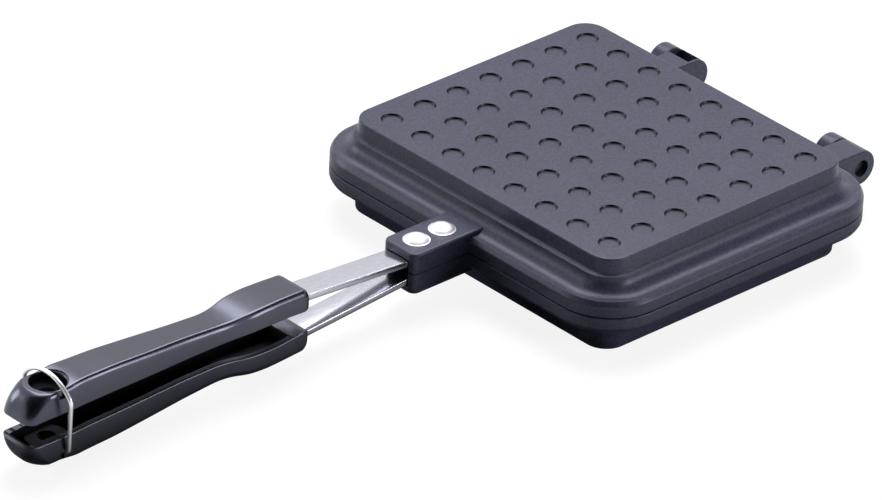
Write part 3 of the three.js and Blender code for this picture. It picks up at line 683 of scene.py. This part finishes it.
# The line is drawn every half millimetre and on past both ends, so that averaging leaves them as
# they are, and kept to just past the tail's end.
LINE_PLACES = np.arange(-10.0, 136.1, 0.5)
LINE_WINDOW = 23
LINE_KEPT = 125.0
FRONT_ROUND = 3.0
FRONT_SIDE_ROUND = 1.4
SHOULDER_DROP = 1.5
SHOULDER_WIDTH = 1.1
SECTION_RADII = [0.5, 1.0, 0.72, 0.1, 0.72, 1.0, 0.5]
BLOCK_DEPTH = 7.8
WALL = 2.3
ROOF = 2.4
CORE_DEPTH = 1.5
CORE_MARGIN = 0.1

TAIL_HALF_WIDTH = 7.85
TAIL_TOP = 14.4
TAIL_STEP_TOP = 13.4
TAIL_INNER = 4.4
TAIL_FOOT_CORNER = 4.6
TAIL_SLOPE = 7.3
TAIL_TURN = np.radians(70)
TAIL_TURN_SHARE = 0.82
TAIL_SHOULDER = 12.5
# the tail's top edge, as (height, how far its plan is drawn in)
TAIL_EDGE = np.array([[12.75, 0.06], [13.05, 0.2], [13.3, 0.45], [13.42, 0.8], [18.0, 0.8]])
TAIL_ROOF = TAIL_TOP - 3.4
ENVELOPE_FRONT_HALF = 9.0
ENVELOPE_SIDE_GAP = 0.1

# The hanging hole and the cup round it in profile, as (radius, height).
HANG_X = -247.1
HANG_MARK_RADIUS = 6.4
CUP_LINE = [(0, 7.2), (7.8, 7.2), (7.8, TAIL_ROOF + 0.2), (0, TAIL_ROOF + 0.2)]
HOLE_LINE = [
    (0, BELOW), (3.2, BELOW), (3.2, 8.8), (6.3, 10.0), (6.3, 13.25), (7.0, 13.6), (7.0, 17), (0, 17),
]

LATCH_X = -245.1
PIVOT_HEIGHT = 10.3
LATCH_HOLE_RADIUS = 0.95
LATCH_HOLE_DEPTH = 2.1
NOTCH_X = LATCH_X - 2.3
NOTCH_HALF_WIDTH = 1.4
NOTCH_DEPTH = 1
NOTCH_DROP = 4
NOTCH_CORNER = 0.4


def grip_forms():
    """The grip's line every half millimetre, with its kinks rounded: straight lines between the
    stations, averaged over 11 mm, and a quarter round of 3 mm at the very front."""
    window = np.hanning(LINE_WINDOW)
    window /= window.sum()
    forms = []
    for column in GRIP_LINE.T[1:]:
        line = np.interp(LINE_PLACES, GRIP_LINE[:, 0], column)
        forms.append(np.convolve(line, window, "same"))
    keep = (LINE_PLACES >= FRONT_ROUND) & (LINE_PLACES <= LINE_KEPT)
    a = np.linspace(0, np.pi / 2, 8)[:-1]
    places = np.concatenate([FRONT_ROUND * (1 - np.cos(a)), LINE_PLACES[keep]])
    half_width, top, inner, share = (np.interp(places, LINE_PLACES, line) for line in forms)
    inset = np.concatenate([1 - np.sin(a), np.zeros(keep.sum())])
    side_inset = FRONT_SIDE_ROUND * inset
    return GRIP_FRONT - places, half_width - side_inset, top - FRONT_ROUND * inset, inner + side_inset, share


def grip_outside():
    """Sections across the grip: a box with sloped shoulders, its corners softened, at each place."""
    x, side, top, inner, share = grip_forms()
    drop, width = SHOULDER_DROP * share, SHOULDER_WIDTH * share
    zero = np.zeros_like(x)
    y = np.stack([zero, -side, -side, width - side, zero, side - width, side, side, zero], -1)
    z = np.stack([inner, inner, top - drop, top, top, top, top - drop, inner, inner], -1)
    section = soften(np.stack([y, z], -1), share[:, None] * SECTION_RADII, 7)[:, :-1]
    place = np.broadcast_to(x[:, None, None], section.shape[:2] + (1,))
    sheet = np.concatenate([place, section], -1)
    return make_mesh("grip", [sheet], [sheet[0], sheet[-1]])


def tail_rise(height):
    """A height on the tail as a share of the way from its inner edge to its top."""
    return np.clip((np.asarray(height, float) - TAIL_INNER) / (TAIL_TOP - TAIL_INNER), 0, 1)


def tail_end(height):
    """Where the tail's end stands at a height: upright at its inner edge, then an arc that draws in by
    7.3 mm towards its top, 7.3 (1 - cos t) / (1 - cos 70) with sin t = share of the rise x sin 70."""
    t = np.arcsin(tail_rise(height) * np.sin(TAIL_TURN))
    return GRIP_END + TAIL_SLOPE * (1 - np.cos(t)) / (1 - np.cos(TAIL_TURN))


def tail_corner(height):
    """Radius of the tail's two corners in plan at a height: 4.6 mm at its inner edge, and half its
    width at its top, in proportion between."""
    return TAIL_FOOT_CORNER + (TAIL_HALF_WIDTH - TAIL_FOOT_CORNER) * tail_rise(height)


def tail_envelope():
    """The body that rounds the tail in plan and slopes its end: at each height the plan has two arcs
    at the tail and straight sides that spread towards the front, and its top edge is softened."""
    rise = np.sin(TAIL_TURN * np.linspace(0, TAIL_TURN_SHARE, 12)) / np.sin(TAIL_TURN)
    height = np.append(0, TAIL_INNER + (TAIL_TOP - TAIL_INNER) * rise)
    height = np.append(height[height < TAIL_SHOULDER], TAIL_EDGE[:, 0])
    inset = np.append(np.zeros(len(height) - len(TAIL_EDGE)), TAIL_EDGE[:, 1])
    front = np.array([[GRIP_FRONT + OVERRUN, ENVELOPE_FRONT_HALF]])
    rings = []
    a = np.radians(np.linspace(90, 180, 18))
    for end, z, back in zip(tail_end(np.minimum(height, TAIL_STEP_TOP)), height, inset):
        corner = tail_corner(z) - back
        side = TAIL_HALF_WIDTH + ENVELOPE_SIDE_GAP - back
        middle = np.array([end + back + corner, side - corner])
        arc = middle + corner * np.stack([np.cos(a), np.sin(a)], -1)
        plan = np.concatenate([front, arc, arc[::-1] * [1, -1], front * [1, -1]])
        rings.append(np.column_stack([plan, np.full(len(plan), z)]))
    return make_mesh("tail", [np.array(rings)], [rings[0], rings[-1]])


def hollow():
    """The space inside a grip behind its front block: rectangles across X that keep a wall of 2.3 mm
    and a roof of 2.4 mm, and a last one that slopes with the tail's end."""
    x, side, top = grip_forms()[:3]
    inside = (x < GRIP_FRONT - BLOCK_DEPTH) & (x > LATCH_X)
    x, side, roof = (line[inside][::4] for line in (x, side - WALL, top - ROOF))
    low = np.full_like(x, BELOW)
    plan = [(-side, low), (-side, roof), (side, roof), (side, low)]
    rings = np.stack([np.stack([x, y, z], -1) for y, z in plan], 1)
    half = TAIL_HALF_WIDTH - WALL
    top_half = half - WALL / 2
    high_end = float(tail_end(TAIL_ROOF)) + WALL
    low_end = high_end - (high_end - GRIP_END - WALL) / (TAIL_ROOF - TAIL_INNER) * (TAIL_ROOF - BELOW)
    end = [
        (low_end, -half, BELOW), (high_end, -top_half, TAIL_ROOF), (high_end, top_half, TAIL_ROOF),
        (low_end, half, BELOW),
    ]
    sheet = np.concatenate([rings, [end]])
    return make_mesh("hollow", [sheet], [sheet[0], sheet[-1]])


def strap_slot():
    """The cutter for the slot in a grip's front block: the strap's tail and a gap all round."""
    half = STRAP_WIDTH / 2 + STRAP_GAP
    x = np.array([GRIP_FRONT + OVERRUN, STRAP_TAIL - STRAP_GAP])
    top = strap_top(x)
    outer = np.column_stack([x, top + STRAP_GAP])
    inner = np.column_stack([x, top - STRAP_THICKNESS - STRAP_GAP])
    return plate_across(np.concatenate([outer, inner[::-1]]), -half, half)


def grip_moulding(is_upper):
    """The whole grip above the parting plane: its outside cut by the tail's envelope and hollowed,
    with the strap's slot, the cup of the hanging hole, the notches and in the lower grip the
    latch's holes."""
    mesh = boolean(grip_outside(), tail_envelope(), "INTERSECT")
    mesh = boolean(mesh, hollow(), "DIFFERENCE")
    mesh = boolean(mesh, turned_cutter(soften(CUP_LINE, [0.8, 0.01], 5)), "UNION")
    mesh = boolean(mesh, strap_slot(), "DIFFERENCE")
    hole = soften(HOLE_LINE, [0.01, 0.4, 0.8, 0.35, 0.1, 0.01], 6)
    mesh = boolean(mesh, turned_cutter(hole), "DIFFERENCE")
    low = (NOTCH_X - NOTCH_HALF_WIDTH, TAIL_TOP - NOTCH_DROP)
    high = (NOTCH_X + NOTCH_HALF_WIDTH, TAIL_TOP + 2 * SHORT_OVERRUN)
    notch = rounded_outline(low, high, NOTCH_CORNER, 4)
    for side in (-1, 1):
        outer = side * (TAIL_HALF_WIDTH + SHORT_OVERRUN)
        ends = sorted((side * (TAIL_HALF_WIDTH - NOTCH_DEPTH), outer))
        mesh = boolean(mesh, plate_across(notch, *ends), "DIFFERENCE")
        if not is_upper:
            ends = sorted((side * (TAIL_HALF_WIDTH - LATCH_HOLE_DEPTH), outer))
            hole = rod_across(LATCH_HOLE_RADIUS, *ends, LATCH_X, PIVOT_HEIGHT, 20)
            mesh = boolean(mesh, hole, "DIFFERENCE")
    return mesh


def turned_cutter(profile, steps=56):
    """A round body on the hanging hole's axis, from a profile of (radius, height)."""
    radius, height = np.asarray(profile, float).T
    a = np.linspace(0, 2 * np.pi, steps, endpoint=False)
    plan = radius[:, None, None] * np.stack([np.cos(a), np.sin(a)], -1)[None] + [HANG_X, 0]
    return make_mesh("turned", [at_height(plan, height)])


def mark_shaded_inside(mesh):
    """Gives the second material, dull and painted near black as shade, to the faces that the mould's core
    shaped: those that lie 1.5 mm or more within the grip's outline and behind its front block, and those of
    the hanging hole."""
    centre = np.empty(len(mesh.polygons) * 3)
    mesh.polygons.foreach_get("center", centre)
    x, y, z = centre.reshape(-1, 3).T / MM
    height = np.abs(z - HALF_HEIGHT)
    place, side, top = (line[::-1] for line in grip_forms()[:3])
    corner = tail_corner(height)
    behind = np.maximum(tail_end(height) + corner - x, 0)
    beside = np.maximum(np.abs(y) - TAIL_HALF_WIDTH + corner, 0)
    from_side = np.interp(x, place, side) - np.abs(y)
    from_top = np.interp(x, place, top) - height
    from_end = corner - np.hypot(behind, beside)
    within = np.min([from_side, from_top, from_end], axis=0) > CORE_DEPTH
    past_block = x < GRIP_FRONT - BLOCK_DEPTH + CORE_MARGIN
    in_hole = np.hypot(x - HANG_X, y) < HANG_MARK_RADIUS
    mesh.polygons.foreach_set("material_index", (within & past_block | in_hole).astype(np.int32))


def phenolic(name, dark, pale, smooth, rough, gloss_level):
    """Phenolic resin, hot pressed, from its two tones, its range of roughness and its gloss: very
    slightly wavy every 6 mm, and with a finer grain 0.4 mm across from the wood flour in it."""
    material, tree, shader = new_material(name)
    place = add_node(tree, "ShaderNodeTexCoord").outputs["Object"]
    grain = noise(tree, place, 0.4, 3.0)
    wave = noise(tree, place, 6, 2.0)
    tone = ramp(tree, grain, [(0.3, linear(dark)), (0.7, linear(pale))])
    tree.links.new(tone.outputs[0], shader.inputs["Base Color"])
    tree.links.new(spread(tree, grain, smooth, rough), shader.inputs["Roughness"])
    bump_up(tree, shader, wave, 0.1, 0.2)
    shader.inputs["IOR"].default_value = 1.6
    shader.inputs["Specular IOR Level"].default_value = gloss_level
    shader.inputs["Specular Tint"].default_value = (0.7, 0.75, 1.0, 1.0)
    return material


# The mould's outer half is polished and gives a clear gloss. Its core isn't, and what it shaped is dull;
# its near-black tone inside the hollow and the hanging hole is painted shade.
glossy_resin = phenolic("polished_black_phenolic", "#17171e", "#1c1c25", 0.19, 0.27, 0.82)
dull_shaded_resin = phenolic("dull_shaded_black_phenolic", "#060608", "#0a0a0c", 0.55, 0.7, 0.12)
for node, body, is_upper in (("lower_grip", "base", False), ("upper_grip", "lid", True)):
    mesh = stand(grip_moulding(is_upper), is_upper, sharp=30.0)
    mesh.materials.append(glossy_resin)
    mesh.materials.append(dull_shaded_resin)
    mark_shaded_inside(mesh)
    even_out(add_piece(node + "_moulding", mesh, body, "grip_plastic", node))


# Latch wire
# One length of spring wire, 1.6 mm thick, bent to a hoop. Its ends turn in two holes in the lower
# grip's tail and its arch drops over the upper grip.

WIRE_RADIUS = 0.8
SIDE_GAP = 0.3
SPREAD = 2.8
BEND_HEIGHT = 10.6
APEX_HEIGHT = 17.5
BEND_CORNER = 1.5
PIN_BITE = 1.9
LEAN = np.radians(5.5)


def bezier(a, b, c, steps=10):
    """Points from a to c bent towards b: (1-t)^2 a + 2t(1-t) b + t^2 c."""
    t = np.linspace(0, 1, steps)[:, None]
    a, b, c = (np.asarray(p, float) for p in (a, b, c))
    return (1 - t) ** 2 * a + 2 * t * (1 - t) * b + t ** 2 * c


def latch_line():
    """The wire's centre line in its own plane, as (across, up) from its pivot: half an arch, a rounded
    bend, a straight leg, a rounded foot and the pin, and the same mirrored."""
    foot, bend = TAIL_HALF_WIDTH + SIDE_GAP + WIRE_RADIUS, BEND_HEIGHT + PIVOT_HEIGHT
    span, apex = foot + SPREAD, APEX_HEIGHT + PIVOT_HEIGHT
    rise = apex - bend
    radius = (span ** 2 + rise ** 2) / (2 * rise)
    a = np.linspace(0, np.arcsin(span / radius) - BEND_CORNER / radius, 26)
    arch = np.stack([radius * np.sin(a), apex - radius + radius * np.cos(a)], -1)
    leg = np.array([span - foot, bend]) / np.hypot(span - foot, bend) * BEND_CORNER
    bend_point, foot_point = np.array([span, bend]), np.array([foot, 0.0])
    bend_end, foot_start = bend_point - leg, foot_point + leg
    straight = bend_end + (foot_start - bend_end) * np.linspace(0, 1, 12)[1:-1, None]
    half = np.concatenate([
        arch, bezier(arch[-1], bend_point, bend_end)[1:], straight,
        bezier(foot_start, foot_point, foot_point - [BEND_CORNER, 0]), [[TAIL_HALF_WIDTH - PIN_BITE, 0.0]],
    ])
    return np.concatenate([half[:0:-1] * [-1, 1], half])


def wire_sheet(line, radius, sides=16):
    """A round wire along a line in a plane: line + r cos(a) N + r sin(a) B, with N across the line in
    its plane and B the plane's own normal."""
    along = np.gradient(line, axis=0)
    along /= np.linalg.norm(along, axis=1, keepdims=True)
    normal = np.stack([-along[:, 1], along[:, 0]], -1)
    a = np.linspace(0, 2 * np.pi, sides, endpoint=False)
    across = line[:, None] + radius * np.cos(a)[None, :, None] * normal[:, None]
    out = np.broadcast_to(radius * np.sin(a)[None, :, None], across.shape[:2] + (1,))
    return np.concatenate([out, across], -1)


def spring_wire():
    """Drawn spring steel, plated pale: a soft sheen with faint marks 0.5 mm across."""
    material, tree, shader = new_material("drawn_spring_wire")
    place = add_node(tree, "ShaderNodeTexCoord").outputs["Object"]
    marks = noise(tree, place, 0.5, 2.0)
    tone = ramp(tree, marks, [(0.3, linear("#e6e6ea")), (0.7, linear("#f2f2f5"))])
    bare_metal(tree, shader, tone, marks, 0.3, 0.42)
    return material


out, across, up = np.moveaxis(wire_sheet(latch_line(), WIRE_RADIUS), -1, 0)
leaning_x = LATCH_X + out * np.cos(LEAN) - up * np.sin(LEAN)
leaning_z = up * np.cos(LEAN) + out * np.sin(LEAN) - PIVOT_HEIGHT
hoop = np.stack([leaning_x, across, leaning_z], -1)
mesh = make_mesh("latch", [hoop], [hoop[0], hoop[-1]], sharp=40)
latch = add_piece("latch_wire_bent", stand(mesh, True, sharp=40.0), "latch", "wire_steel", "latch_wire")
latch.data.materials.append(spring_wire())


# Floor, light and camera
# A plain white table under soft studio lamps, seen from behind the grips as in the photograph.

FLOOR_HALF = 12.0

# What stands in the floor's light, round which a painted shadow is faded into the floor's mirrored
# glow, as (middle, half of its size) in metres.
PAN_SHADOW_PLAN = ((0, 0, 0), (0.067, 0.075, 1))
HANDLE_SHADOW_PLAN = ((-0.17, 0, 0), (0.092, 0.008, 1))

# Directions in which reflections find the studio dark: (direction, dot product at which the dark
# begins, the one at which it is full, the light that is left).
DARK_SIDES = (
    ((-0.69, -0.71, 0.15), 0.55, 0.92, 0.04),
    ((0.62, -0.45, 0.64), 0.84, 0.94, 0.1),
    ((-0.5, -0.22, 0.84), 0.7, 0.9, 0.05),
)


def distance_to(tree, place, middle, half):
    """Distance on the floor from a rectangle, as a node output: the length of max(|p - middle| - half, 0)."""
    folded = calculate_vector(tree, "ABSOLUTE", calculate_vector(tree, "SUBTRACT", place, middle))
    beyond = calculate_vector(tree, "SUBTRACT", folded, half)
    outside = calculate_vector(tree, "MAXIMUM", beyond, (0, 0, 0))
    return calculate_vector(tree, "LENGTH", outside, output="Value")


def fade(tree, value, none, full, low, high):
    """A smooth step from low, where a value is none, to high, where it is full, as a node output."""
    ends = {"From Min": none, "From Max": full, "To Min": low, "To Max": high}
    step = {"interpolation_type": "SMOOTHSTEP"}
    return add_node(tree, "ShaderNodeMapRange", step, {"Value": value, **ends}).outputs[0]


def pale_floor():
    """Matt white paper that shows white to the camera where it is lit and keeps the object's shadow.
    Mirrored in the object it carries a painted shadow: dark close to the object's plan, and white
    from 45 mm away."""
    material, tree, shader = new_material("white_paper")
    shader.inputs["Base Color"].default_value = linear("#808080")
    shader.inputs["Roughness"].default_value = 0.9
    shader.inputs["Specular IOR Level"].default_value = 0.0
    path = add_node(tree, "ShaderNodeLightPath")
    glow = add_node(tree, "ShaderNodeEmission", inputs={"Color": (1, 1, 1, 1)})
    mirrored = calculate(tree, "ADD", path.outputs["Is Glossy Ray"], path.outputs["Is Transmission Ray"])
    place = add_node(tree, "ShaderNodeTexCoord").outputs["Object"]
    from_pan, from_handle = (distance_to(tree, place, *plan) for plan in (PAN_SHADOW_PLAN, HANDLE_SHADOW_PLAN))
    nearest = calculate(tree, "MINIMUM", from_pan, from_handle)
    # Painted shadow: reflections see the floor darkened within 45 mm of the pan and the handle.
    mirrored = calculate(tree, "MULTIPLY", mirrored, fade(tree, nearest, 0.0, 0.045, 0.0, 0.9))
    direct = calculate(tree, "MULTIPLY", path.outputs["Is Camera Ray"], 0.87)
    tree.links.new(calculate(tree, "ADD", direct, mirrored), glow.inputs["Strength"])
    both = add_node(tree, "ShaderNodeAddShader", inputs={0: shader.outputs[0], 1: glow.outputs[0]})
    out = next(n for n in tree.nodes if n.type == "OUTPUT_MATERIAL")
    tree.links.new(both.outputs[0], out.inputs[0])
    return material


corners = [(x * FLOOR_HALF, y * FLOOR_HALF, 0) for x, y in ((-1, -1), (1, -1), (1, 1), (-1, 1))]
floor_mesh = bpy.data.meshes.new("floor")
floor_mesh.from_pydata(corners, [], [(0, 1, 2, 3)])
floor_mesh.materials.append(pale_floor())
floor = bpy.data.objects.new("floor", floor_mesh)
bpy.context.scene.collection.objects.link(floor)

# The camera sees the studio white, reflections see it at full strength but for its dark sides, and
# its soft light is faint.
world = bpy.data.worlds.new("studio")
bpy.context.scene.world = world
world.use_nodes = True
tree = world.node_tree
tree.nodes.clear()
path = add_node(tree, "ShaderNodeLightPath")
heading = add_node(tree, "ShaderNodeTexCoord").outputs["Generated"]
light = 1.0
for direction, none, full, left in DARK_SIDES:
    facing = calculate_vector(tree, "DOT_PRODUCT", heading, direction, output="Value")
    light = calculate(tree, "MULTIPLY", fade(tree, facing, none, full, 1.0, left), light)
by_ray = spread(tree, path.outputs["Is Glossy Ray"], 0.12, 1.0)
room = calculate(tree, "MULTIPLY", light, by_ray)
strength = calculate(tree, "MAXIMUM", room, path.outputs["Is Camera Ray"])
back = add_node(tree, "ShaderNodeBackground", inputs={"Color": (1, 1, 1, 1), "Strength": strength})
add_node(tree, "ShaderNodeOutputWorld", inputs={"Surface": back.outputs[0]})


def soft_lamp(name, place, size, power):
    """A square soft box that faces the pan."""
    lamp = bpy.data.lights.new(name, "AREA")
    lamp.size = size
    lamp.energy = power
    holder = bpy.data.objects.new(name, lamp)
    bpy.context.scene.collection.objects.link(holder)
    holder.location = place
    holder.rotation_euler = (Vector((-0.05, 0, 0)) - Vector(place)).to_track_quat("-Z", "Y").to_euler()


soft_lamp("back_lamp", (0.38, 0.42, 1.22), 1.0, 18.5)
soft_lamp("right_lamp", (0.28, -0.74, 0.19), 0.3, 2.3)
soft_lamp("left_lamp", (-0.65, 0.95, 0.4), 0.5, 3.8)

camera = bpy.data.cameras.new("camera")
camera.sensor_width = 36
camera.lens = 367.35
camera.clip_end = 50
viewer = bpy.data.objects.new("camera", camera)
bpy.context.scene.collection.objects.link(viewer)
viewer.location = (-1.90393, -1.88683, 1.53613)
viewer.rotation_euler = Euler(np.radians([59.9554, -2.44797, -42.73725]).tolist())
bpy.context.scene.camera = viewer
bpy.context.scene.view_settings.view_transform = "Standard"
